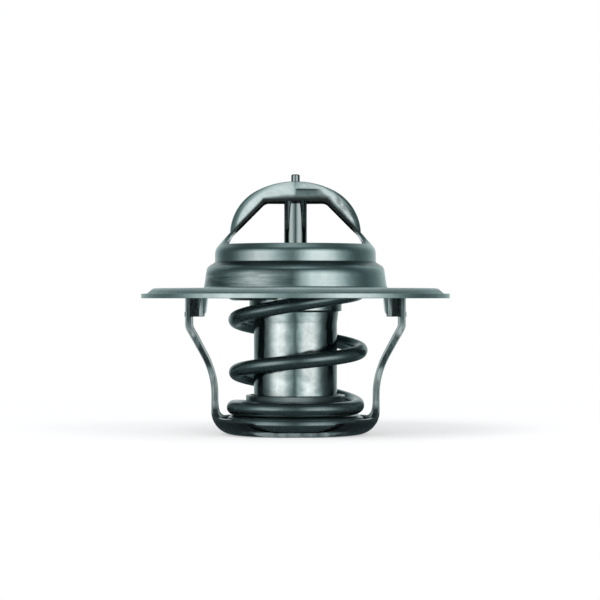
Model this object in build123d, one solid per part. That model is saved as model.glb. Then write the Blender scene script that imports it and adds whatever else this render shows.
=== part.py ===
from build123d import *
import math
import os

# Engine thermostat with a drawn flange, a pierced bridge and a hooked lower frame.
# Millimetres. The origin is on the valve axis at the brim's underside, +Z points to
# the bridge, and the frame legs stand on the X axis.

# Overall sizes
flange_diameter = 54.0
bridge_height = 20.5
frame_depth = 23.8

# Sheets and wire
flange_sheet = 0.8
frame_sheet = 0.8
disc_sheet = 0.8
cup_sheet = 0.6
wire_diameter = 2.5

# Wax element
cup_radius = 7.3
cup_length = 21.5
cup_corner = 1.5
cup_flare = 0.25
cup_flare_height = 2.1
cup_flare_bend = 2.0
cup_step_bend = 0.2
crimp_radius = 8.1
crimp_height = 3.2
crimp_mouth_radius = 6.2
crimp_round = 0.5
piston_diameter = 4.0
piston_depth = 15.6
piston_tip_diameter = 1.5
piston_tip_height = 1.2
piston_tip_chamfer = 0.15
piston_chamfer = 0.35
guide_neck_radius = 3.5
guide_neck_height = 6.6
sleeve_wall = 1.0
sleeve_flange = 0.7
seal_radius = 3.6
seal_thickness = 0.8
clip_section = 0.8
clip_groove_depth = 0.5
clip_radius = 4.7
clip_gap_angle = 70.0

# Lower frame
collar_height = 6.9
collar_bend = 1.0
frame_corner = 4.0
frame_width = 21.2
frame_rim_height = 3.0
leg_half_width = 3.0
leg_head_half_width = 4.0
leg_fillet = 3.0
leg_low_bend = 14.0
rim_round = 0.6
mouth_round = 0.2
leg_bend_low = 13.3
leg_bend_high = 5.1
leg_widen_low = 12.0
leg_widen_high = 6.5
head_drop = 3.2
head_depth = 3.3
wing_inset = 0.35
wing_bevel_low = 0.8
wing_bevel_high = 0.15
hook_width = 4.6
hook_lean = 0.5

# Flange, seat and bridge
brim_width = 1.0
step_run = 1.1
step_rise = 0.95
step_bend = 0.35
seat_height = 3.7
seat_taper = 0.55
seat_land = 1.4
seat_land_rise = 0.85
seat_bend = 0.3
land_bend = 0.2
collar_band = 2.25
foot_bend = 1.4
sill_rise = 0.85
foot_share = 0.22
neck_height = 0.3
arch_start = 0.75
leg_inset = 2.6
shoulder_fullness = 0.93
bridge_depth = 3.7
lip_half_width = 6.8
lip_crease_angle = 8.0
lip_bend = 1.2
window_knee_inset = 0.4
window_knee_rise = 1.55
window_sill_run = 0.84
window_top_half = 5.35
window_corner = 1.5

# Valve disc
rim_lap = 0.95
rim_width = 1.25
rim_rise = 2.15
hub_drop = 1.25
disc_bend = 0.4

# Spring
spring_end_turn = 0.53
spring_step_turns = 0.47
spring_free_first_turn = 0.9
spring_free_last_turn = 3.0
spring_turns_up = 3.67
spring_ease_share = 0.12
spring_lean = 0.35
spring_swell = 0.8
spring_bow = 0.6
points_per_turn = 12

# Clearances
running_gap = 0.03
rest_gap = 0.05
spring_gap = 0.1
seat_gap = 0.12
sleeve_gap = 0.3
cup_gap = 0.6
spring_inner_gap = 0.85
spring_outer_gap = 1.9
valve_margin = 1.25
hook_gap = 0.15

# Radii that follow from the element outwards
piston_radius = piston_diameter / 2
guide_collar_inner = cup_radius + cup_gap
guide_collar_outer = guide_collar_inner + frame_sheet
spring_radius = guide_collar_outer + spring_inner_gap + wire_diameter / 2
spring_outer = spring_radius + wire_diameter / 2
spring_inner = spring_radius - wire_diameter / 2
frame_radius = spring_outer + spring_outer_gap + frame_sheet
collar_inner = spring_outer + valve_margin
collar_radius = collar_inner + flange_sheet
shoulder_radius = collar_radius + seat_land
seat_radius = shoulder_radius + seat_taper
hook_radius = seat_radius - flange_sheet
head_radius = hook_radius + flange_sheet + head_depth
leg_radius = collar_radius - leg_inset
flange_radius = flange_diameter / 2

# Heights of the pressing
brim_top_z = flange_sheet
plateau_z = brim_top_z + step_rise
plateau_under_z = plateau_z - flange_sheet
shoulder_z = plateau_z + seat_height
band_low_z = shoulder_z + seat_land_rise
band_top_z = band_low_z + collar_band
sill_z = band_top_z + sill_rise
arch_z = sill_z + foot_share * (bridge_height - sill_z)
window_top_z = bridge_height - bridge_depth

# Heights of the lower frame
base_z = -frame_depth
base_top_z = base_z + frame_sheet
frame_rim_z = base_z + frame_rim_height
collar_top_z = base_z + collar_height

# Heights of the valve and the element, from the seat down
land_slope = seat_land_rise / seat_land
land_length = math.hypot(seat_land, seat_land_rise)
land_drop = flange_sheet * land_length / seat_land
rim_radius = collar_inner + rim_lap
seat_z = shoulder_z + (shoulder_radius - rim_radius) * land_slope - land_drop
rim_top_z = seat_z - seat_gap
rim_under_z = rim_top_z - disc_sheet
spring_seat_z = rim_under_z - rim_rise
hub_z = spring_seat_z - hub_drop
hub_top_z = hub_z + disc_sheet
crimp_low_z = hub_z - crimp_height
ledge_z = crimp_low_z + cup_sheet
cup_bottom_z = hub_z - cup_length
sleeve_top_z = ledge_z + sleeve_flange
guide_top_z = hub_z + guide_neck_height
crimp_under_z = hub_z - cup_sheet


def sheet_section(points, bends, thickness, first_edge=0.0):
    """Section of a bent sheet in the XZ plane, to the left of a line of corners.

    Each bend is a corner's inside radius, on whichever face is the inside, and
    first_edge rounds both edges of the sheet at the first point.
    """
    face = [Vector(*point) for point in points]
    along = [(b - a).normalized() for a, b in zip(face, face[1:])]
    left = [Vector(-d.Y, d.X) for d in along]
    back = [face[0] + left[0] * thickness]
    face_radii = [first_edge]
    back_radii = [first_edge]
    for corner, before, after, way, turn in zip(face[1:], left, left[1:], along, along[1:]):
        both = before + after
        back.append(corner + both * (2 * thickness / both.length**2))
        bend = bends[len(face_radii) - 1]
        to_left = way.cross(turn).Z > 0
        face_radii.append(bend + thickness if to_left else bend)
        back_radii.append(bend if to_left else bend + thickness)
    back.append(face[-1] + left[-1] * thickness)
    radii = face_radii + [0, 0] + back_radii[::-1]
    outline = FilletPolyline(*face, *back[::-1], radius=radii, close=True)
    return Plane.XZ * make_face(outline)


def turned(points):
    """Solid of revolution about Z from (radius, height) corners."""
    return revolve(Plane.XZ * make_face(Polyline(*points, close=True)), Axis.Z)


def slab(x_low, x_high, y_half, z_low, z_high):
    """Block between two X planes and two Z planes, centred on Y."""
    block = Box(x_high - x_low, 2 * y_half, z_high - z_low, align=(Align.MIN, Align.CENTER, Align.MIN))
    return Pos(x_low, 0, z_low) * block


def both_sides(shape):
    """The shape and its copy half a turn round the axis."""
    return [shape, Rot(0, 0, 180) * shape]


def arch_arcs(inset):
    """Shoulder arc and crown arc of the dome in one thickness below its surface."""
    centre_z = arch_z - arch_start
    rise = bridge_height - centre_z
    small = shoulder_fullness * min(rise, leg_radius)
    reach = leg_radius - small
    large = (reach**2 + rise**2 - small**2) / (2 * (rise - small))
    first = math.degrees(math.asin(arch_start / (small - inset)))
    lean = math.degrees(math.acos(reach / (large - small)))
    shoulder = CenterArc((reach, centre_z), small - inset, first, lean - first)
    crown = CenterArc((0, bridge_height - large), large - inset, lean, 90 - lean)
    return shoulder, crown


def seat_face():
    """Section of the brim, seat and feet in the XZ plane, up to the arch."""
    neck_x = (arch_arcs(0)[0] @ 0).X
    points = [
        (flange_radius, brim_top_z),
        (flange_radius - brim_width, brim_top_z),
        (flange_radius - brim_width - step_run, plateau_z),
        (seat_radius, plateau_z),
        (shoulder_radius, shoulder_z),
        (collar_radius, band_low_z),
        (collar_radius, band_top_z),
        (neck_x, arch_z - neck_height),
        (neck_x, arch_z),
    ]
    bends = [step_bend, step_bend, step_bend, seat_bend, land_bend, foot_bend, 0]
    return sheet_section(points, bends, flange_sheet)


def dome(inset):
    """Filled dome one thickness below the bridge's surface, from the neck up."""
    shoulder, crown = arch_arcs(inset)
    outline = Polyline(crown @ 1, (0, arch_z), shoulder @ 0)
    return revolve(Plane.XZ * make_face(Curve([shoulder, crown, outline])), Axis.Z)


def lipped_dome(inset):
    """The dome between two upright lips, each creased outwards at the middle."""
    half = (lip_half_width - inset) * math.cos(math.radians(lip_crease_angle))
    block = Box(4 * leg_radius, 2 * half, 4 * bridge_height)
    shapes = []
    for angle in (lip_crease_angle, -lip_crease_angle):
        shape = dome(inset) & (Rot(0, 0, angle) * block)
        if inset == 0:
            tops = shape.edges().filter_by(lambda e: e.bounding_box().max.Z > arch_z + lip_bend)
            tops = tops.filter_by(lambda e: e.length > lip_half_width)
            shape = fillet(tops, lip_bend)
        shapes.append(shape)
    return shapes[0] & shapes[1]


def window():
    """Prism of the two side windows, which one punch makes straight through."""
    knee_x = leg_radius - window_knee_inset
    points = [
        (knee_x + window_sill_run, sill_z),
        (knee_x, sill_z + window_knee_rise),
        (window_top_half, window_top_z),
        (-window_top_half, window_top_z),
        (-knee_x, sill_z + window_knee_rise),
        (-knee_x - window_sill_run, sill_z),
    ]
    face = make_face(Polyline(*points, close=True))
    top = face.vertices().sort_by(Axis.Y)[-2:]
    return extrude(Plane.XZ * fillet(top, window_corner), flange_radius, both=True)


def hook_section():
    """Section of a hook: the flange's own tongue bent down and then outwards."""
    points = [
        (hook_radius, plateau_z - flange_sheet / 4),
        (hook_radius + hook_lean, -head_drop),
        (head_radius, -head_drop),
    ]
    return sheet_section(points, [flange_sheet / 2], flange_sheet)


def make_flange_bridge():
    """Flange, valve seat and bridge, drawn from one sheet and pierced."""
    seat = revolve(seat_face(), Axis.Z)
    body = seat + (lipped_dome(0) - lipped_dome(flange_sheet)) - window()
    tip_hole = Pos(0, 0, bridge_height) * Cylinder(piston_tip_diameter / 2 + rest_gap, 4 * flange_sheet)
    body -= tip_hole
    tongue = plateau_under_z + head_drop + head_depth
    slot_start = hook_radius + flange_sheet + hook_gap
    slot = slab(slot_start, slot_start + tongue - flange_sheet, hook_width / 2 + hook_gap, 0, 2 * plateau_z)
    hook = extrude(hook_section(), hook_width / 2, both=True)
    for cut in both_sides(slot):
        body -= cut
    for tongue_side in both_sides(hook):
        body += tongue_side
    return body


def leg_outline():
    """Side view of the frame's cup and legs as a prism along X."""
    side = [
        (frame_width / 2, base_z - frame_sheet),
        (frame_width / 2, frame_rim_z),
        (leg_half_width, frame_rim_z),
        (leg_half_width, -leg_widen_low),
        (leg_head_half_width, -leg_widen_high),
        (leg_head_half_width, plateau_z),
    ]
    radii = [0, rim_round, leg_fillet, leg_fillet, leg_fillet, 0]
    points = side + [(-y, z) for y, z in reversed(side)]
    outline = FilletPolyline(*points, radius=radii + radii[::-1], close=True)
    return extrude(Plane.YZ * make_face(outline), 2 * head_radius, both=True)


def wing_plan(bevel):
    """Plan of a wing, bevelled where it looks at the valve."""
    x_low = head_radius - head_depth
    x_high = head_radius - frame_sheet / 2
    y_high = leg_head_half_width - wing_inset
    y_low = y_high - frame_sheet
    points = [
        (x_low + bevel, y_high),
        (x_high, y_high),
        (x_high, y_low),
        (x_low, y_low),
        (x_low, y_high - bevel / 2),
    ]
    return make_face(Polyline(*points, close=True))


def head_wings():
    """Two wings folded inwards from the head of the +X leg, over the hook's flanks."""
    low_plan = Pos(0, 0, -head_drop) * wing_plan(wing_bevel_low)
    high_plan = Pos(0, 0, plateau_under_z) * wing_plan(wing_bevel_high)
    wing = loft([low_plan, high_plan], ruled=True)
    return wing + mirror(wing, Plane.XZ)


def hook_slot():
    """Slot in the +X leg's web that the hook's foot fills."""
    foot_top = -head_drop + flange_sheet
    slot_half = hook_width / 2 + hook_gap
    x_low = head_radius - 2 * frame_sheet
    return slab(x_low, head_radius + frame_sheet, slot_half, foot_top - flange_sheet - hook_gap, foot_top)


def make_lower_frame():
    """Spring cup with its guide collar and two legs, drawn and cut from one strip."""
    points = [
        (guide_collar_inner, collar_top_z),
        (guide_collar_inner, base_z),
        (frame_radius, base_z),
        (frame_radius, -leg_bend_low),
        (head_radius, -leg_bend_high),
        (head_radius, plateau_under_z),
    ]
    bends = [collar_bend, frame_corner - frame_sheet, leg_low_bend, leg_fillet / 2]
    drawn = revolve(sheet_section(points, bends, frame_sheet, mouth_round), Axis.Z)
    body = (drawn & leg_outline()) + (drawn & Cylinder(spring_inner, 4 * frame_depth))
    for wings in both_sides(head_wings()):
        body += wings
    for slot in both_sides(hook_slot()):
        body -= slot
    return body


def make_piston_pin():
    """Piston that stands under the bridge and holds the element's guide."""
    shoulder = bridge_height - flange_sheet - rest_gap * 3
    low = hub_z - piston_depth
    upward = (Align.CENTER, Align.CENTER, Align.MIN)
    rod = Pos(0, 0, low) * Cylinder(piston_radius, shoulder - low, align=upward)
    rod = chamfer(rod.edges().filter_by(GeomType.CIRCLE), piston_chamfer)
    tip_height = bridge_height + piston_tip_height - shoulder
    tip = Cylinder(piston_tip_diameter / 2, tip_height, align=upward)
    tip = chamfer(tip.edges().group_by(Axis.Z)[-1], piston_tip_chamfer)
    return rod + Pos(0, 0, shoulder) * tip


def eased(share):
    """Travel from 0 to 1 at a steady rate with soft ends."""
    share = min(max(share, 0.0), 1.0)
    rate = 1 / (1 - spring_ease_share)
    if share < spring_ease_share:
        return rate * share**2 / (2 * spring_ease_share)
    if share > 1 - spring_ease_share:
        return 1 - rate * (1 - share) ** 2 / (2 * spring_ease_share)
    return rate * (share - spring_ease_share / 2)


def spring_point(turn):
    """Centre of the wire, counted in turns from the +X side of the lowest coil."""
    bottom = base_top_z + spring_gap + wire_diameter / 2
    top = spring_seat_z - spring_gap - wire_diameter / 2
    step = wire_diameter + rest_gap
    free = (turn - spring_free_first_turn) / (spring_free_last_turn - spring_free_first_turn)
    free = min(max(free, 0.0), 1.0)
    height = bottom + step * eased(turn / spring_step_turns)
    height += (top - bottom - step) * eased(free)
    height += spring_swell * math.sin(2 * math.pi * free)
    angle = 2 * math.pi * turn
    bulge = math.sin(math.pi * free) ** 2
    height -= spring_lean * math.cos(angle) * bulge
    shift = spring_bow * bulge
    return (spring_radius * math.cos(angle) + shift, spring_radius * math.sin(angle), height)


def make_main_spring():
    """Compression spring with closed ends, wound to the right."""
    total = spring_end_turn + spring_turns_up
    count = round(total * points_per_turn)
    path = Spline(*[spring_point(-spring_end_turn + total * i / count) for i in range(count + 1)])
    start = Plane(origin=path @ 0, z_dir=path % 0)
    return sweep(start * Circle(wire_diameter / 2), path=path)


def make_valve_disc():
    """Dished valve plate: hub, spring land, wall and seating rim."""
    wall_x = rim_radius - rim_width
    points = [
        (guide_neck_radius + rest_gap, hub_z),
        (spring_inner - spring_inner_gap, hub_z),
        (spring_inner - spring_inner_gap / 3, spring_seat_z),
        (spring_outer + valve_margin / 3, spring_seat_z),
        (wall_x, rim_under_z),
        (rim_radius, rim_under_z),
    ]
    return revolve(sheet_section(points, [disc_bend] * 4, disc_sheet), Axis.Z)


def make_element_cup():
    """Deep drawn cup with a widened mouth, crimped over the guide's flange."""
    inner = cup_radius - cup_sheet
    mouth = crimp_radius - cup_sheet
    floor_z = cup_bottom_z + cup_sheet
    corners = [
        ((0, cup_bottom_z), 0),
        ((cup_radius, cup_bottom_z), cup_corner),
        ((cup_radius, crimp_low_z - cup_flare_height), cup_flare_bend),
        ((cup_radius + cup_flare, crimp_low_z), cup_step_bend),
        ((crimp_radius, crimp_low_z), cup_step_bend),
        ((crimp_radius, hub_z), crimp_round),
        ((crimp_mouth_radius, hub_z), 0),
        ((crimp_mouth_radius, crimp_under_z), 0),
        ((mouth, crimp_under_z), 0),
        ((mouth, ledge_z), 0),
        ((inner, ledge_z), cup_step_bend),
        ((inner, floor_z), cup_corner - cup_sheet),
        ((0, floor_z), 0),
    ]
    points = [point for point, _ in corners]
    radii = [radius for _, radius in corners]
    outline = FilletPolyline(*points, radius=radii, close=True)
    return revolve(Plane.XZ * make_face(outline), Axis.Z)


def make_guide_bush():
    """Guide with the piston's running bore, a clamped flange and a clip groove."""
    bore = piston_radius + running_gap
    groove = guide_neck_radius - clip_groove_depth
    flange = crimp_radius - cup_sheet - rest_gap
    groove_top_z = hub_top_z + clip_section
    points = [
        (bore, sleeve_top_z + seal_thickness),
        (seal_radius, sleeve_top_z + seal_thickness),
        (seal_radius, sleeve_top_z),
        (flange, sleeve_top_z),
        (flange, crimp_under_z),
        (guide_neck_radius, crimp_under_z),
        (guide_neck_radius, hub_top_z),
        (groove, hub_top_z),
        (groove, groove_top_z),
        (guide_neck_radius, groove_top_z),
        (guide_neck_radius, guide_top_z - clip_groove_depth),
        (groove, guide_top_z),
        (bore, guide_top_z),
    ]
    return turned(points)


def make_valve_clip():
    """Open snap ring in the guide's groove, over the valve disc's hub."""
    inner = guide_neck_radius - clip_groove_depth + rest_gap
    ring = Pos(0, 0, hub_top_z) * extrude(Circle(clip_radius) - Circle(inner), clip_section)
    half = math.radians(clip_gap_angle / 2)
    reach = 2 * clip_radius
    corner = (reach * math.cos(half), reach * math.sin(half))
    wedge = make_face(Polyline((0, 0), corner, (corner[0], -corner[1]), close=True))
    return ring - extrude(wedge, 4 * (hub_top_z + clip_section), both=True)


def make_piston_seal():
    """Sealing washer round the piston, in the guide's counterbore."""
    inner = piston_radius + running_gap
    low = sleeve_top_z
    high = sleeve_top_z + seal_thickness
    outer = seal_radius - rest_gap
    return turned([(inner, low), (outer, low), (outer, high), (inner, high)])


def sleeve_end_z():
    """Underside of the sleeve's closed end, below the piston."""
    return hub_z - piston_depth - 2 * sleeve_gap - sleeve_wall


def make_rubber_sleeve():
    """Closed rubber boot round the piston, clamped by its flange."""
    inner = piston_radius + sleeve_gap
    outer = inner + sleeve_wall
    flange = crimp_radius - cup_sheet - 2 * rest_gap
    end_z = sleeve_end_z()
    points = [
        (0, end_z),
        (outer, end_z),
        (outer, ledge_z),
        (flange, ledge_z),
        (flange, sleeve_top_z),
        (inner, sleeve_top_z),
        (inner, end_z + sleeve_wall),
        (0, end_z + sleeve_wall),
    ]
    return turned(points)


def make_wax_charge():
    """Wax between the sleeve and the cup."""
    bore = piston_radius + sleeve_gap + sleeve_wall + rest_gap
    outer = cup_radius - cup_sheet - rest_gap
    floor_z = cup_bottom_z + cup_sheet + rest_gap
    corner = cup_corner - cup_sheet
    points = [
        (0, floor_z),
        (outer - corner, floor_z),
        (outer, floor_z + corner),
        (outer, ledge_z - cup_sheet),
        (bore, ledge_z - cup_sheet),
        (bore, sleeve_end_z() - rest_gap),
        (0, sleeve_end_z() - rest_gap),
    ]
    return turned(points)


parts = {
    "flange_bridge": make_flange_bridge(),
    "lower_frame": make_lower_frame(),
    "piston_pin": make_piston_pin(),
    "main_spring": make_main_spring(),
    "valve_disc": make_valve_disc(),
    "element_cup": make_element_cup(),
    "guide_bush": make_guide_bush(),
    "valve_clip": make_valve_clip(),
    "piston_seal": make_piston_seal(),
    "rubber_sleeve": make_rubber_sleeve(),
    "wax_charge": make_wax_charge(),
}

os.makedirs("parts", exist_ok=True)
for name, shape in parts.items():
    export_step(shape, f"parts/{name}.step")
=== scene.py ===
import math

import bmesh
import bpy
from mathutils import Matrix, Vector


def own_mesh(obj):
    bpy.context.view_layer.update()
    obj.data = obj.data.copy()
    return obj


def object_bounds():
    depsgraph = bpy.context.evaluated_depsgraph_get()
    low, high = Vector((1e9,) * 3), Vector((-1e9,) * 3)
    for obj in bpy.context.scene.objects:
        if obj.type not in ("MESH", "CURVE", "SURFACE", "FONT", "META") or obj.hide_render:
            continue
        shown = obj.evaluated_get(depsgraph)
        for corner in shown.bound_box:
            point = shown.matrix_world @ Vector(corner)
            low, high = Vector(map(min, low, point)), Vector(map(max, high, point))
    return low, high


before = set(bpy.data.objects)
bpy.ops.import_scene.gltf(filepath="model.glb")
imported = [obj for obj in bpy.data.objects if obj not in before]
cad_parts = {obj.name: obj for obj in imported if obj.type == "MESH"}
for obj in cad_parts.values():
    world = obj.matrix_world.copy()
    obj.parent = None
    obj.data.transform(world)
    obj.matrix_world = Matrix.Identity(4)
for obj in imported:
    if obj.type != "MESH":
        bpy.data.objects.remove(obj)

# Engine thermostat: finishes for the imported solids, reflection cards, floor and camera.
# Metres, in the same frame as the solids: the origin is on the valve axis at the
# flange's underside, +Z points to the bridge, and the camera looks along +Y.

MM = 0.001
cad_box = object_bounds()

# Camera: side of the picture in pixels, its pixels per millimetre and the pixel of the origin
PHOTO_SIDE = 600
PHOTO_SCALE = 5.7045
PHOTO_ORIGIN = (295.5, 298.3)
CAMERA_DISTANCE = 380 * MM
CAMERA_NEAR = 0.01
CAMERA_FAR = 10.0
SENSOR_WIDTH = 36.0

# Stage, with its sizes in metres
WHITE = (1.0, 1.0, 1.0, 1.0)
SKY_COLOUR = (0.93, 0.97, 1.0, 1.0)
SKY_STRENGTH = 0.62
FLOOR_COLOUR = (0.93, 0.94, 0.94, 1.0)
FLOOR_GLOW = 0.5
FLOOR_RADIUS = 1.2
FLOOR_SIDES = 96
SHADOW_RADIUS = 45 * MM
SHADOW_FADE = 110 * MM
CARD_RADIUS = 460 * MM
CARD_LOW = -0.30
CARD_HIGH = 0.55
CARD_STEPS = 72
CARD_STRENGTH = 1.15
DARK_CARD = (0.055, 0.062, 0.066, 1.0)
SHADE_TINT = (0.74, 1.0, 1.0, 1.0)
CEILING_HOLE = 0.02
GROUND_HOLE = 0.006
GROUND_LIFT = 0.1 * MM

# Brightness of the cards. Round: degrees right of the camera's direction, then the share.
# Up and out: height or distance from the valve axis in metres, then the share.
WALL_ROUND = (
    (-180, 0.0), (-120, 0.0), (-104, 0.05), (-90, 0.16), (-80, 0.34), (-70, 0.62), (-60, 0.88),
    (-48, 1.0), (-34, 0.94), (-24, 0.58), (-15, 0.36), (-9, 0.26), (-4, 0.15), (0, 0.03),
    (4, 0.15), (8, 0.30), (15, 0.54), (24, 0.92), (34, 1.0), (48, 1.0), (58, 0.80),
    (66, 0.52), (75, 0.22), (86, 0.07), (100, 0.02), (120, 0.0), (180, 0.0),
)
WALL_UP = (
    (-0.30, 0.0), (-0.20, 0.35), (-0.10, 1.0), (0.12, 1.0), (0.22, 0.80), (0.34, 0.50), (0.55, 0.12),
)
BEHIND_ROUND = (
    (0, 0.0), (104, 0.0), (112, 0.06), (122, 0.12), (135, 0.22), (150, 0.42), (165, 0.60), (180, 0.75),
)
BEHIND_UP = ((-0.30, 0.3), (-0.05, 1.0), (0.06, 1.0), (0.20, 0.8), (0.36, 0.6), (0.55, 0.15))
CEILING_OUT = ((0.0, 0.30), (0.10, 0.25), (0.22, 0.06), (0.32, 0.03), (0.46, 0.02))
GROUND_OUT = ((0.0, 0.0), (0.04, 0.03), (0.07, 0.35), (0.11, 0.85), (0.20, 1.0), (0.46, 1.0))

# Worked metal: rates of the noise per millimetre, and of the lanes on a circle of 1; relief
# in millimetres; shades as shares of the colour. LANE_INNER keeps the lanes off the axis.
RING_RATE = 3.0
LANE_RATE = 26.0
LANE_DRIFT = 0.1
LANE_INNER = 0.5
FINE_RATE = 5.0
WAVE_RATE = 0.4
PATCH_SHARES = ((0.35, 0.0), (0.68, 1.0))
EDGE_RADIUS = 0.16 * MM
EDGE_SAMPLES = 6
EDGE_SHARES = ((0.86, 1.0), (0.995, 0.0))
RING_RELIEF = 0.012
LANE_RELIEF = 0.006
FINE_RELIEF = 0.0015
METAL_BUMP = 0.8
PATCH_ROUGH = 0.08
FINE_ROUGH = 0.1
# The next three shares darken the colour: with painted shade and marks, with painted shade alone, and
# with a painted dark reflection at the rims
SHADE_AND_MARKS_SHARE = 0.2
PAINTED_SHADE_SHARE = 0.06
RIM_SHADE = 0.12
# Painted dark reflection by how far a face turns away from the camera, for the pin and the cup
PIN_RIM = ((0.0, 0.0), (0.12, 0.0), (0.22, 0.5), (0.30, 0.7), (1.0, 0.7))
CUP_RIM = ((0.0, 0.0), (0.10, 0.0), (0.17, 0.25), (0.24, 0.6), (0.34, 0.72), (1.0, 0.75))

# Rubber, plastic and wax
MOTTLE_SHADE = 0.6
MOTTLE_RELIEF = 0.02
MOTTLE_ROUGH = 0.1
SOFT_BUMP = 0.5

# The bridge's window, in millimetres: its top, half the length of that edge, the knee of
# its side, and the ways out across the slopes above and below the knee
WINDOW_TOP = 16.8
WINDOW_TOP_HALF = 5.35
WINDOW_KNEE = (11.1, 10.95)
SLANT_OUT = (0.713, 0.701)
KNEE_OUT = (0.879, 0.476)

# The pressing by height above the flange's underside in millimetres, then the share
# Some tables here place painted shade: round the window, along the crease, in the groove under the
# collar, at the collar's left end and on the step's left side
STRAP_BY_HEIGHT = ((9.3, 0.0), (10.5, 1.0), (24.0, 1.0))
TWIST_BY_HEIGHT = ((0.0, 0.0), (18.5, 0.0), (18.9, 1.0), (24.0, 1.0))
CREASE_SHADE_BY_HEIGHT = ((0.0, 0.0), (18.35, 0.0), (18.7, 1.0), (18.85, 1.0), (19.05, 0.0), (24.0, 0.0))
WINDOW_SHADE_BY_HEIGHT = ((0.0, 0.0), (10.6, 0.0), (11.4, 0.35), (12.4, 1.0), (24.0, 1.0))
COLLAR_BY_HEIGHT = ((0.0, 0.0), (1.8, 0.0), (2.3, 1.0), (9.3, 1.0), (10.2, 0.0), (24.0, 0.0))
COLLAR_END_SHADE_BY_HEIGHT = ((0.0, 0.0), (5.4, 0.0), (5.8, 1.0), (9.4, 1.0), (9.9, 0.0), (24.0, 0.0))
BENDS_BY_HEIGHT = ((4.1, 0.0), (4.6, 0.25), (5.3, 0.70), (5.9, 0.0), (7.9, 0.0), (8.85, 0.4), (9.6, 0.0))
GROOVE_SHADE_BY_HEIGHT = ((5.3, 0.0), (5.7, 0.7), (6.25, 0.9), (6.5, 0.0))
STEP_SHADE_BY_HEIGHT = (
    (0.0, 0.0), (1.8, 0.0), (2.2, 1.0), (4.6, 0.8), (5.6, 0.2), (9.0, 0.1), (10.0, 0.0),
)
FLANGE_BY_HEIGHT = ((-1.0, 0.0), (-0.1, 0.0), (0.0, 1.0), (1.9, 1.0), (2.0, 0.0), (4.0, 0.0))
PLATEAU_BY_HEIGHT = ((-1.0, 0.0), (0.75, 0.0), (0.95, 1.0), (4.0, 1.0))
PLATEAU_MATT_BY_HEIGHT = ((0.0, 0.0), (0.9, 0.0), (1.3, 0.08), (1.6, 0.28), (2.0, 0.42))

# The pressing by place right of the axis in millimetres, then the share
# Some tables here place painted shade: along the crease, over the strap's right side, round the window,
# at the collar's left end and on the step's left side
TWIST_ACROSS = ((-12.0, 0.0), (-0.5, 0.0), (0.2, 0.52), (3.6, 0.55), (5.8, 1.0), (12.0, 1.0))
CREASE_SHADE_ACROSS = ((-1.0, 0.0), (0.0, 0.0), (0.3, 1.0), (3.6, 1.0), (4.8, 0.0), (12.0, 0.0))
SCUFF_SHADE_ACROSS = ((-12.0, 0.10), (0.0, 0.15), (4.0, 0.5), (7.0, 1.0), (12.0, 1.0))
WINDOW_SHADE_REACH_ACROSS = ((-12.0, 0.42), (-6.0, 0.42), (-1.5, 0.8), (4.0, 0.9), (6.5, 0.6), (12.0, 0.55))
COLLAR_END_SHADE_ACROSS = (
    (-30.0, 0.0), (-14.0, 0.0), (-12.5, 0.55), (-10.0, 0.5), (-7.0, 0.25), (-4.0, 0.15), (-2.0, 0.0),
    (30.0, 0.0),
)
STEP_SHADE_ACROSS = ((-30.0, 0.85), (-8.0, 0.9), (-0.5, 0.75), (1.0, 0.0), (30.0, 0.0))

# The pressing by other measures: how far a face looks to the front or back, millimetres
# outside the window, shares of the reach of the painted shade round the window, millimetres
# from the axis, and noise
STRAP_BY_FACING = ((0.0, 0.0), (0.03, 0.0), (0.15, 1.0), (1.0, 1.0))
ROLL_BY_DISTANCE = ((0.0, 1.0), (0.25, 0.9), (0.55, 0.0), (2.0, 0.0))
WINDOW_SHADE_BY_REACH = ((0.0, 0.93), (0.40, 0.85), (1.0, 0.0), (4.0, 0.0))
WINDOW_SHADE_REACH = 1.5
FLANGE_BY_RADIUS = ((0.0, 0.0), (16.4, 0.0), (17.0, 1.0), (30.0, 1.0))
SCRATCH_RATES = (0.5, 0.35, 0.3, 0.9)
SCRATCH_SHARES = ((0.42, 0.0), (0.60, 0.7))
STREAK_RATES = (0.20, 0.20, 1.5)
STREAK_SHARES = ((0.32, 0.35), (0.62, 1.0))

# How the pressing's faces are evened out and turned, and how rough its worn places and the painted shade
# round its window are
STRAP_EVEN_ACROSS = 0.7
STRAP_EVEN_UP = 0.95
TWIST_SPAN = 0.4
TWIST_LEFT = 0.28
ROLL_TURN = 0.6
COLLAR_TURN = 0.045
PLATEAU_EVEN = 0.7
PLATEAU_TURN = 0.2
BRIM_ROUGH = 0.06
PLATEAU_ROUGH = 0.2
WINDOW_SHADE_ROUGH = 0.5

# The lower frame by height in millimetres, then the share
WING_BY_HEIGHT = ((-24.0, 0.0), (-3.3, 0.0), (-3.2, 1.0), (2.0, 1.0))
LEAN_BY_HEIGHT = (
    (-24.0, 0.0), (-20.8, 0.0), (-19.4, 0.55), (-17.2, 1.0), (-15.5, 1.0), (-13.0, 0.5), (-11.0, 0.05),
    (-9.0, 0.0), (-7.6, 0.8), (-6.0, 0.9), (-4.6, 0.3), (-3.4, 0.05), (2.0, 0.0),
)
# Painted shade low on the legs and by the base
LOW_SHADE_BY_HEIGHT = ((-24.0, 0.5), (-19.5, 0.5), (-18.0, 0.25), (-16.5, 0.0), (2.0, 0.0))
BASE_BY_HEIGHT = ((-24.0, 1.0), (-21.5, 1.0), (-20.8, 0.0), (0.0, 0.0))
LINE_BY_HEIGHT = ((-24.0, 1.0), (-22.9, 1.0), (-22.7, 0.0), (0.0, 0.0))

# The lower frame by distance left or right of the axis in millimetres, by slope, and noise
WING_BY_DISTANCE = ((0.0, 0.0), (16.75, 0.0), (16.85, 1.0), (18.25, 1.0), (18.35, 0.0), (20.0, 0.0))
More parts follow.
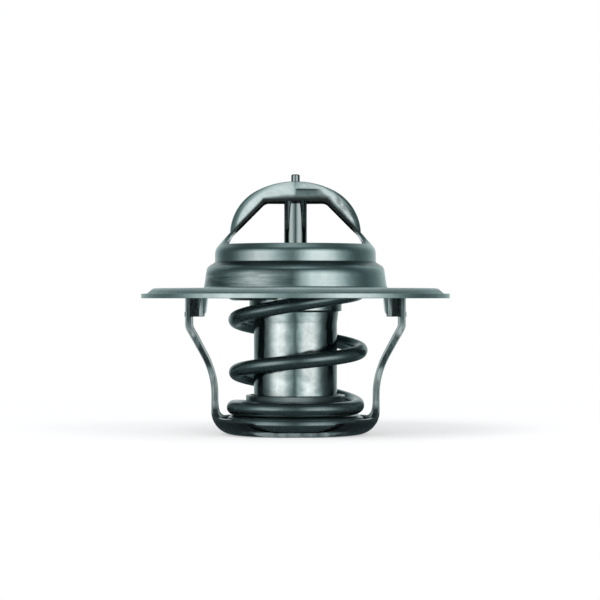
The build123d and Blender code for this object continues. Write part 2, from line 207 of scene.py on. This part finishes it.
# Painted shade on the guide collar
GUIDE_SHADE_BY_DISTANCE = ((0.0, 0.5), (8.6, 0.5), (9.2, 0.0), (27.0, 0.0))
STAINS_BY_DISTANCE = ((0.0, 0.0), (9.0, 0.0), (10.5, 1.0), (27.0, 1.0))
LINE_BY_DISTANCE = ((0.0, 1.0), (8.6, 1.0), (9.4, 0.0), (27.0, 0.0))
LINE_BY_SLOPE = ((0.0, 1.0), (0.90, 1.0), (0.985, 0.0), (1.0, 0.0))
WANDER_RATES = (0.35, 0.1)
STAIN_RATES = (1.6, 1.2, 0.22)
STAIN_SHARES = ((0.42, 0.0), (0.60, 0.8))

# How the frame's faces are turned, how strong its stains are, and how dark the painted shade on its base
# is.
# AXIS_GAP is the least distance that a place is divided by.
AXIS_GAP = 0.01
LEG_LEAN = 0.36
BASE_TURN = 0.9
LINE_WANDER = 2.2
LINE_LEAN = 0.5
LINE_UP = 0.03
STAIN_ON_EDGES = 0.85
STAIN_ON_FACES = 0.06
BASE_SHADE_SHARE = 0.6


class Signal:
    """A shader socket on which Python's own signs work."""

    def __init__(self, finish, socket):
        self.finish = finish
        self.socket = socket

    def out(self, name):
        """Another output of the same node."""
        return Signal(self.finish, self.socket.node.outputs[name])

    def __add__(self, other):
        return self.finish.maths("ADD", self, other)

    def __sub__(self, other):
        return self.finish.maths("SUBTRACT", self, other)

    def __rsub__(self, other):
        return self.finish.maths("SUBTRACT", other, self)

    def __mul__(self, other):
        return self.finish.maths("MULTIPLY", self, other)

    def __truediv__(self, other):
        return self.finish.maths("DIVIDE", self, other)

    def __rtruediv__(self, other):
        return self.finish.maths("DIVIDE", other, self)

    def __pow__(self, other):
        return self.finish.maths("POWER", self, other)

    def __abs__(self):
        return self.finish.maths("ABSOLUTE", self)

    def __gt__(self, other):
        return self.finish.maths("GREATER_THAN", self, other)

    __radd__ = __add__
    __rmul__ = __mul__

    def at_least(self, *others):
        """The largest of this and the others."""
        largest = self
        for other in others:
            largest = self.finish.maths("MAXIMUM", largest, other)
        return largest

    def at_most(self, other):
        return self.finish.maths("MINIMUM", self, other)

    def ramp(self, stops):
        """Share at this value from 0 to 1, straight between stops that are (value, share)."""
        return self.finish.node("ValToRGB", {"stops": stops}, {"Fac": self})

    def stepped(self, stops):
        """Share at this value, in its own unit, straight between stops that are (value, share)."""
        low, high = stops[0][0], stops[-1][0]
        places = [((stop - low) / (high - low), share) for stop, share in stops]
        return ((self - low) / (high - low)).ramp(places)


class Finish:
    """A material or world whose nodes are written as expressions."""

    def __init__(self, owner):
        self.owner = owner
        owner.use_nodes = True
        self.tree = owner.node_tree
        self.tree.nodes.clear()

    def node(self, kind, settings=None, sockets=None):
        """One node: its settings first, then the values or links of its sockets."""
        made = self.tree.nodes.new("ShaderNode" + kind)
        for name, value in (settings or {}).items():
            if name == "stops":
                self.set_stops(made.color_ramp, value)
            else:
                setattr(made, name, value)
        for name, value in (sockets or {}).items():
            if isinstance(value, Signal):
                self.tree.links.new(value.socket, made.inputs[name])
            else:
                made.inputs[name].default_value = value
        return Signal(self, made.outputs[0]) if made.outputs else None

    @staticmethod
    def set_stops(ramp, stops):
        while len(ramp.elements) < len(stops):
            ramp.elements.new(1.0)
        for element, (place, grey) in zip(ramp.elements, stops):
            element.position = place
            element.color = (grey, grey, grey, 1.0)

    def maths(self, operation, *values):
        return self.node("Math", {"operation": operation}, dict(enumerate(values)))

    def place(self):
        """Place on the piece, in metres."""
        return self.node("TexCoord").out("Object")

    def place_in_mm(self):
        """Place on the piece, in millimetres."""
        return self.node("VectorMath", {"operation": "SCALE"}, {0: self.place(), "Scale": 1 / MM})

    def split(self, vector):
        """The X, Y and Z of a vector."""
        parts = self.node("SeparateXYZ", sockets={0: vector})
        return [parts.out(axis) for axis in "XYZ"]

    def join(self, x, y, z=0.0):
        return self.node("CombineXYZ", sockets={0: x, 1: y, 2: z})

    def scaled(self, places, rates):
        """A vector of places, each times its own rate."""
        return self.join(*[place * rate for place, rate in zip(places, rates)])

    def unit(self, vector):
        """The vector with a length of 1."""
        return self.node("VectorMath", {"operation": "NORMALIZE"}, {0: vector})

    def noise(self, vector, scale=1.0, detail=3.0, roughness=0.55):
        sockets = {"Vector": vector, "Scale": scale, "Detail": detail, "Roughness": roughness}
        return self.node("TexNoise", sockets=sockets)

    def blend(self, factor, first, second):
        """Colour between two colours."""
        return self.node("MixRGB", {"blend_type": "MIX"}, {0: factor, 1: first, 2: second})

    def end(self, surface, kind="OutputMaterial"):
        """Wires the surface to the output and returns the finished material or world."""
        self.node(kind, sockets={"Surface": surface})
        return self.owner


def tinted(colour, share):
    """The colour times a share, still opaque."""
    return tuple(channel * share for channel in colour[:3]) + (1.0,)


def distance(x, y):
    """Distance from the valve axis."""
    return (x * x + y * y) ** 0.5


def unturned(finish, x, y, z, normal):
    """The surface's own direction, with no painted shade or marks of its own."""
    return {"way": normal}


def window_distance(x, z):
    """How far outside the edge of the bridge's window a place is, in millimetres."""
    out = abs(x)
    top = z - WINDOW_TOP
    slant = (out - WINDOW_TOP_HALF) * SLANT_OUT[0] + top * SLANT_OUT[1]
    knee = (out - WINDOW_KNEE[0]) * KNEE_OUT[0] + (z - WINDOW_KNEE[1]) * KNEE_OUT[1]
    return top.at_least(slant, knee)


def pressed_turns(finish, x, y, z, normal):
    """Soft bends of the pressing and its strap, twisted and rolled a little, with painted shade
    and scratches.

    way is the direction a face seems to look in, the two darkening entries paint shade on the
    colour (the second adds scratches), worn is added to the roughness and matt is taken off
    the metallic value.
    """
    across, deep, up = finish.split(normal)
    strap = z.stepped(STRAP_BY_HEIGHT) * abs(deep).stepped(STRAP_BY_FACING)
    turn_share = x.stepped(TWIST_ACROSS).at_least(z.stepped(TWIST_BY_HEIGHT) * (x > 0.0))
    twist = (turn_share * TWIST_SPAN - TWIST_LEFT) * strap * deep
    outside = window_distance(x, z)
    rolled = outside.stepped(ROLL_BY_DISTANCE) * strap
    flange = distance(x, y).stepped(FLANGE_BY_RADIUS) * z.stepped(FLANGE_BY_HEIGHT)
    plateau = flange * z.stepped(PLATEAU_BY_HEIGHT)
    sideways = across * (1.0 - strap * STRAP_EVEN_ACROSS) + z.stepped(COLLAR_BY_HEIGHT) * COLLAR_TURN
    upward = up * (1.0 - strap * STRAP_EVEN_UP) * (1.0 - plateau * PLATEAU_EVEN)
    turned = finish.join(
        sideways - twist,
        deep,
        upward + z.stepped(BENDS_BY_HEIGHT) + plateau * PLATEAU_TURN - rolled * ROLL_TURN,
    )

    # Painted shade in a soft band round the window's edge, wider in the middle
    window_shade_reach = x.stepped(WINDOW_SHADE_REACH_ACROSS) * WINDOW_SHADE_REACH
    window_shade = (outside / window_shade_reach).stepped(WINDOW_SHADE_BY_REACH) * z.stepped(WINDOW_SHADE_BY_HEIGHT)
    right, down, back, along = SCRATCH_RATES
    slanted = finish.join(x * right - z * down, y * back, z * along + x * along)
    scratches = finish.noise(slanted, detail=5.0, roughness=0.7).ramp(SCRATCH_SHARES)
    # Scratches, which also paint shade over the strap's right side, where they are strongest
    scuffs_and_shade = scratches * x.stepped(SCUFF_SHADE_ACROSS) * strap
    # Painted shade along the crease right of the middle
    crease_shade = z.stepped(CREASE_SHADE_BY_HEIGHT) * x.stepped(CREASE_SHADE_ACROSS) * strap
    # Painted shade at the collar's left end
    collar_end_shade = x.stepped(COLLAR_END_SHADE_ACROSS) * z.stepped(COLLAR_END_SHADE_BY_HEIGHT)
    # Painted shade on the left of the step under the collar, broken up by streaks
    streaks = finish.noise(finish.scaled((x, y, z), STREAK_RATES)).ramp(STREAK_SHARES)
    step_shade = x.stepped(STEP_SHADE_ACROSS) * z.stepped(STEP_SHADE_BY_HEIGHT) * streaks
    return {
        "way": finish.unit(turned),
        # Painted shade in the groove under the collar and round the window
        "dirt": z.stepped(GROOVE_SHADE_BY_HEIGHT).at_least(window_shade),
        # Painted shade, with scratches in it
        "dull": step_shade.at_least(scuffs_and_shade, crease_shade, collar_end_shade),
        "worn": (flange - plateau) * BRIM_ROUGH + plateau * PLATEAU_ROUGH + window_shade * WINDOW_SHADE_ROUGH,
        "matt": plateau * z.stepped(PLATEAU_MATT_BY_HEIGHT),
    }


def frame_turns(finish, x, y, z, normal):
    """Leg edges that lean out, wings that look down, painted shade low down, and a base in painted shade
    with a bright line.
    """
    across, deep, up = finish.split(normal)
    edge_on = abs(deep)
    out = abs(x)
    side = x / out.at_least(AXIS_GAP)
    wing = out.stepped(WING_BY_DISTANCE) * z.stepped(WING_BY_HEIGHT)
    line = z.stepped(LINE_BY_HEIGHT) * out.stepped(LINE_BY_DISTANCE) * abs(up).stepped(LINE_BY_SLOPE)
    base = z.stepped(BASE_BY_HEIGHT) * (1.0 - line)
    wander = finish.noise(finish.scaled((x, z), WANDER_RATES), detail=2.0) - 0.5
    lean = z.stepped(LEAN_BY_HEIGHT) * LEG_LEAN
    turned = finish.join(
        across + side * lean * edge_on * (1.0 - wing) + line * (wander * LINE_WANDER + LINE_LEAN),
        deep,
        up * (1.0 - line) - wing * edge_on - base * BASE_TURN + line * LINE_UP,
    )

    stains = finish.noise(finish.scaled((x, y, z), STAIN_RATES)).ramp(STAIN_SHARES)
    stains = stains * out.stepped(STAINS_BY_DISTANCE) * (edge_on * STAIN_ON_EDGES + STAIN_ON_FACES)
    # Painted shade low on the legs and on the guide collar
    low = z.stepped(LOW_SHADE_BY_HEIGHT).at_least(out.stepped(GUIDE_SHADE_BY_DISTANCE))
    return {
        "way": finish.unit(turned),
        "dull": stains.at_least(low) * (1.0 - line),
        # Painted shade on the base
        "dirt": base * BASE_SHADE_SHARE,
    }


def metal(name, colour, rough, ring, grain, blotch, edge_light, edge_rough, blotch_shade=0.72,
          edge_shade=1.18, patch_rate=0.28, dents=0.04, matt=0.0, rim=None, turns=unturned):
    """Worked metal: rings and lanes left by the tool, fine grain, blotches, edges and painted shade.

    The shares ring, grain, blotch and edge_light say how strong each is, and the shades
    are shares of the colour: edges are lighter where worn, and an edge_shade below 1 darkens
    them with painted shade instead. dents is the relief of the softest waves in millimetres,
    matt is taken off the metallic value, rim darkens faces that turn away from the camera as
    a painted dark reflection, and turns adds what depends on the place, painted shade among it.
    """
    finish = Finish(bpy.data.materials.new(name))
    place = finish.place_in_mm()
    x, y, z = finish.split(place)
    radius = distance(x, y)
    rings = finish.noise(finish.join(radius * RING_RATE, z * RING_RATE))
    far = radius.at_least(LANE_INNER)
    around = finish.join(x / far, y / far, z * LANE_DRIFT)
    lanes = finish.noise(around, LANE_RATE, detail=4.0, roughness=0.7)
    fine = finish.noise(place, FINE_RATE, roughness=0.65)
    patches = finish.noise(place, patch_rate, detail=4.0, roughness=0.6).ramp(PATCH_SHARES)
    waves = finish.noise(place, WAVE_RATE, detail=1.0)

    rounded = finish.node("Bevel", {"samples": EDGE_SAMPLES}, {"Radius": EDGE_RADIUS})
    flat = finish.node("NewGeometry").out("Normal")
    bend = finish.node("VectorMath", {"operation": "DOT_PRODUCT"}, {0: rounded, 1: flat}).out("Value")
    edge = bend.ramp(EDGE_SHARES)
    local = turns(finish, x, y, z, rounded)

    tone = (patches * blotch + lanes * grain + rings * ring).at_most(1.0)
    body = finish.blend(tone, colour, tinted(colour, blotch_shade))
    # Edges are lighter where worn; an edge_shade below 1 darkens them with painted shade instead
    body = finish.blend(edge * edge_light, body, tinted(colour, edge_shade))
    # Painted shade, and marks such as stains and scratches, darken the colour
    for darkening, shade in (("dull", SHADE_AND_MARKS_SHARE), ("dirt", PAINTED_SHADE_SHARE)):
        if darkening in local:
            body = finish.blend(local[darkening], body, tinted(colour, shade))
    # Painted dark reflection on faces that turn away from the camera
    if rim:
        away = finish.node("LayerWeight", sockets={"Blend": 0.5, "Normal": rounded}).out("Facing")
        body = finish.blend(away.stepped(rim), body, tinted(colour, RIM_SHADE))

    relief = rings * (RING_RELIEF * ring) + lanes * (LANE_RELIEF * grain)
    relief = relief + fine * FINE_RELIEF + waves * dents
    bump = finish.node("Bump", sockets={
        "Strength": METAL_BUMP,
        "Distance": MM,
        "Height": relief,
        "Normal": local["way"],
    })
    roughness = rough + (patches - 0.5) * PATCH_ROUGH + (fine - 0.5) * FINE_ROUGH + edge * edge_rough
    surface = finish.node("BsdfPrincipled", sockets={
        "Base Color": body,
        "Metallic": 1.0 - matt - local.get("matt", 0.0),
        "Roughness": roughness + local.get("worn", 0.0),
        "Normal": bump,
    })
    return finish.end(surface)


def soft_solid(name, colour, rough, mottle, scale):
    """Rubber, plastic or wax: a mottled colour with a fine grain."""
    finish = Finish(bpy.data.materials.new(name))
    mask = finish.noise(finish.place_in_mm(), scale, detail=4.0, roughness=0.6)
    bump = finish.node("Bump", sockets={
        "Strength": SOFT_BUMP,
        "Distance": MM,
        "Height": mask * MOTTLE_RELIEF,
    })
    surface = finish.node("BsdfPrincipled", sockets={
        "Base Color": finish.blend(mask * mottle, colour, tinted(colour, MOTTLE_SHADE)),
        "Roughness": rough + mask * MOTTLE_ROUGH,
        "Normal": bump,
    })
    return finish.end(surface)


def dress(node, material):
    """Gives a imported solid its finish."""
    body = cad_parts[node]
    body.data.materials.clear()
    body.data.materials.append(material)


def shorten_spring():
    """Gives the spring a mesh of its own."""
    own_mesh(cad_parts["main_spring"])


def stage_body(name, shape, material):
    """Makes a bmesh an object of the stage, with its material."""
    mesh = bpy.data.meshes.new(name)
    shape.to_mesh(mesh)
    shape.free()
    mesh.materials.append(material)
    body = bpy.data.objects.new(name, mesh)
    bpy.context.scene.collection.objects.link(body)
    return body


def ray_mask(finish):
    """1 for the rays that see the stage itself: camera, glossy and transmission."""
    rays = finish.node("LightPath")
    return rays.out("Is Camera Ray").at_least(rays.out("Is Glossy Ray"), rays.out("Is Transmission Ray"))


def make_world():
    """White background, and an even grey light for everything else."""
    world = bpy.data.worlds.new("studio")
    bpy.context.scene.world = world
    finish = Finish(world)
    light = finish.node("Background", sockets={"Color": SKY_COLOUR, "Strength": SKY_STRENGTH})
    white = finish.node("Background", sockets={"Color": WHITE, "Strength": 1.0})
    both = finish.node("MixShader", sockets={0: ray_mask(finish), 1: light, 2: white})
    finish.end(both, "OutputWorld")


def floor_material():
    """Pale matt that fades into the white background, clear from below."""
    finish = Finish(bpy.data.materials.new("pale_floor"))
    x, y, _ = finish.split(finish.place())
    far = ((distance(x, y) - SHADOW_RADIUS) / SHADOW_FADE).at_least(0.0).at_most(1.0)
    matt = finish.node("BsdfDiffuse", sockets={"Color": FLOOR_COLOUR})
    glow = finish.node("Emission", sockets={"Color": WHITE, "Strength": 1.0})
    share = ray_mask(finish) * (FLOOR_GLOW + far * (1.0 - FLOOR_GLOW))
    upper = finish.node("MixShader", sockets={0: share, 1: matt, 2: glow})
    clear = finish.node("BsdfTransparent")
    below = finish.node("NewGeometry").out("Backfacing")
    return finish.end(finish.node("MixShader", sockets={0: below, 1: upper, 2: clear}))


def make_floor():
    """Round floor that keeps a soft shadow."""
    shape = bmesh.new()
    bmesh.ops.create_circle(shape, cap_ends=True, segments=FLOOR_SIDES, radius=FLOOR_RADIUS)
    bmesh.ops.translate(shape, verts=shape.verts, vec=(0, 0, cad_box[0].z))
    stage_body("floor", shape, floor_material())


def card_material(name, paint):
    """Glow whose brightness paint gives by angle, distance from the axis and height."""
    finish = Finish(bpy.data.materials.new(name))
    x, y, z = finish.split(finish.place())
    angle = finish.maths("ARCTAN2", x, 0 - y) * (180 / math.pi)
    light = paint(angle, distance(x, y), z)
    colour = finish.node("MixRGB", {"blend_type": "MULTIPLY"}, {
        0: 1.0,
        1: finish.blend(light, DARK_CARD, WHITE),
        2: finish.blend(light, SHADE_TINT, WHITE),
    })
    return finish.end(finish.node("Emission", sockets={"Color": colour, "Strength": CARD_STRENGTH}))


def make_card(name, inner, outer, paint):
    """Reflection card turned once round the valve, seen in the metal alone.

    inner and outer are the (radius, height) of its two edges in metres.
    """
    shape = bmesh.new()
    corners = [shape.verts.new((radius, 0, height)) for radius, height in (inner, outer)]
    rail = shape.edges.new(corners)
    bmesh.ops.spin(
        shape,
        geom=[*corners, rail],
        cent=(0, 0, 0),
        axis=(0, 0, 1),
        angle=2 * math.pi,
        steps=CARD_STEPS,
        use_merge=True,
    )
    card = stage_body(name, shape, card_material(name, paint))
    card.visible_camera = False
    card.visible_diffuse = False
    card.visible_shadow = False
    card.visible_transmission = False


def paint_wall(angle, radius, height):
    """Soft light left and right of the camera, with grey behind the object."""
    front = angle.stepped(WALL_ROUND) * height.stepped(WALL_UP)
    behind = abs(angle).stepped(BEHIND_ROUND) * height.stepped(BEHIND_UP)
    return front + behind


def paint_ceiling(angle, radius, height):
    """Dim ceiling."""
    return radius.stepped(CEILING_OUT)


def paint_ground(angle, radius, height):
    """Ground that is dark near the object and mirrors the wall further out."""
    front = angle.stepped(WALL_ROUND)
    behind = abs(angle).stepped(BEHIND_ROUND)
    return (front + behind) * radius.stepped(GROUND_OUT)


def make_lamp(name, place, size, watts):
    """Soft square lamp that faces the object and leaves no reflection."""
    light = bpy.data.lights.new(name, "AREA")
    light.shape = "SQUARE"
    light.size = size
    light.energy = watts
    lamp = bpy.data.objects.new(name, light)
    lamp.location = place
    lamp.rotation_euler = (-Vector(place)).to_track_quat("-Z", "Y").to_euler()
    lamp.visible_glossy = False
    bpy.context.scene.collection.objects.link(lamp)


def make_camera():
    """Camera at the flange's height, with the photograph's frame."""
    across = (PHOTO_SIDE / 2 - PHOTO_ORIGIN[0]) / PHOTO_SCALE * MM
    up = (PHOTO_ORIGIN[1] - PHOTO_SIDE / 2) / PHOTO_SCALE * MM
    data = bpy.data.cameras.new("camera")
    data.sensor_width = SENSOR_WIDTH
    data.lens = SENSOR_WIDTH * CAMERA_DISTANCE / (PHOTO_SIDE / PHOTO_SCALE * MM)
    data.clip_start = CAMERA_NEAR
    data.clip_end = CAMERA_FAR
    camera = bpy.data.objects.new("camera", data)
    camera.location = (across, -CAMERA_DISTANCE, up)
    camera.rotation_euler = (math.radians(90), 0, 0)
    bpy.context.scene.collection.objects.link(camera)
    bpy.context.scene.camera = camera


dress("flange_bridge", metal(
    "rolled_steel", (0.66, 0.775, 0.765, 1.0), rough=0.23, ring=0.50, grain=0.30, blotch=0.40,
    edge_light=0.5, edge_rough=0.05, turns=pressed_turns,
))
dress("lower_frame", metal(
    "frame_steel", (0.38, 0.45, 0.45, 1.0), rough=0.20, ring=0.25, grain=0.20, blotch=0.30,
    edge_light=0.9, edge_rough=0.05, edge_shade=0.25, matt=0.07, turns=frame_turns,
))
dress("piston_pin", metal(
    "ground_steel", (0.39, 0.45, 0.445, 1.0), rough=0.07, ring=0.12, grain=0.10, blotch=0.10,
    edge_light=0.3, edge_rough=0.03, rim=PIN_RIM,
))
dress("main_spring", metal(
    "spring_wire", (0.26, 0.32, 0.325, 1.0), rough=0.25, ring=0.20, grain=0.15, blotch=0.35,
    edge_light=0.3, edge_rough=0.02, matt=0.03,
))
dress("element_cup", metal(
    "cup_steel", (0.80, 0.885, 0.875, 1.0), rough=0.14, ring=0.12, grain=0.12, blotch=0.70,
    edge_light=0.3, edge_rough=0.05, blotch_shade=0.55, patch_rate=0.4, dents=0.10, rim=CUP_RIM,
))
dress("valve_disc", metal(
    "disc_steel", (0.50, 0.58, 0.57, 1.0), rough=0.30, ring=0.35, grain=0.25, blotch=0.30,
    edge_light=0.5, edge_rough=0.05,
))
dress("guide_bush", metal(
    "turned_brass", (0.60, 0.47, 0.22, 1.0), rough=0.26, ring=0.45, grain=0.15, blotch=0.20,
    edge_light=0.4, edge_rough=0.05,
))
dress("valve_clip", metal(
    "clip_steel", (0.22, 0.26, 0.26, 1.0), rough=0.30, ring=0.10, grain=0.20, blotch=0.20,
    edge_light=0.5, edge_rough=0.05,
))
dress("piston_seal", soft_solid(
    "seal_plastic", (0.72, 0.72, 0.68, 1.0), rough=0.45, mottle=0.25, scale=2.0,
))
dress("rubber_sleeve", soft_solid(
    "sleeve_rubber", (0.025, 0.026, 0.027, 1.0), rough=0.6, mottle=0.4, scale=1.5,
))
dress("wax_charge", soft_solid(
    "filled_wax", (0.42, 0.22, 0.12, 1.0), rough=0.5, mottle=0.5, scale=1.2,
))
shorten_spring()

make_world()
make_floor()
ground_height = cad_box[0].z + GROUND_LIFT
make_card("wall_card", (CARD_RADIUS, CARD_LOW), (CARD_RADIUS, CARD_HIGH), paint_wall)
make_card("ceiling_card", (CEILING_HOLE, CARD_HIGH), (CARD_RADIUS, CARD_HIGH), paint_ceiling)
make_card("ground_card", (GROUND_HOLE, ground_height), (CARD_RADIUS, ground_height), paint_ground)
make_lamp("key", place=(-0.35, -0.45, 0.55), size=0.5, watts=4.0)
make_lamp("fill", place=(0.45, -0.35, 0.35), size=0.5, watts=2.0)
make_camera()
bpy.context.scene.view_settings.view_transform = "Standard"
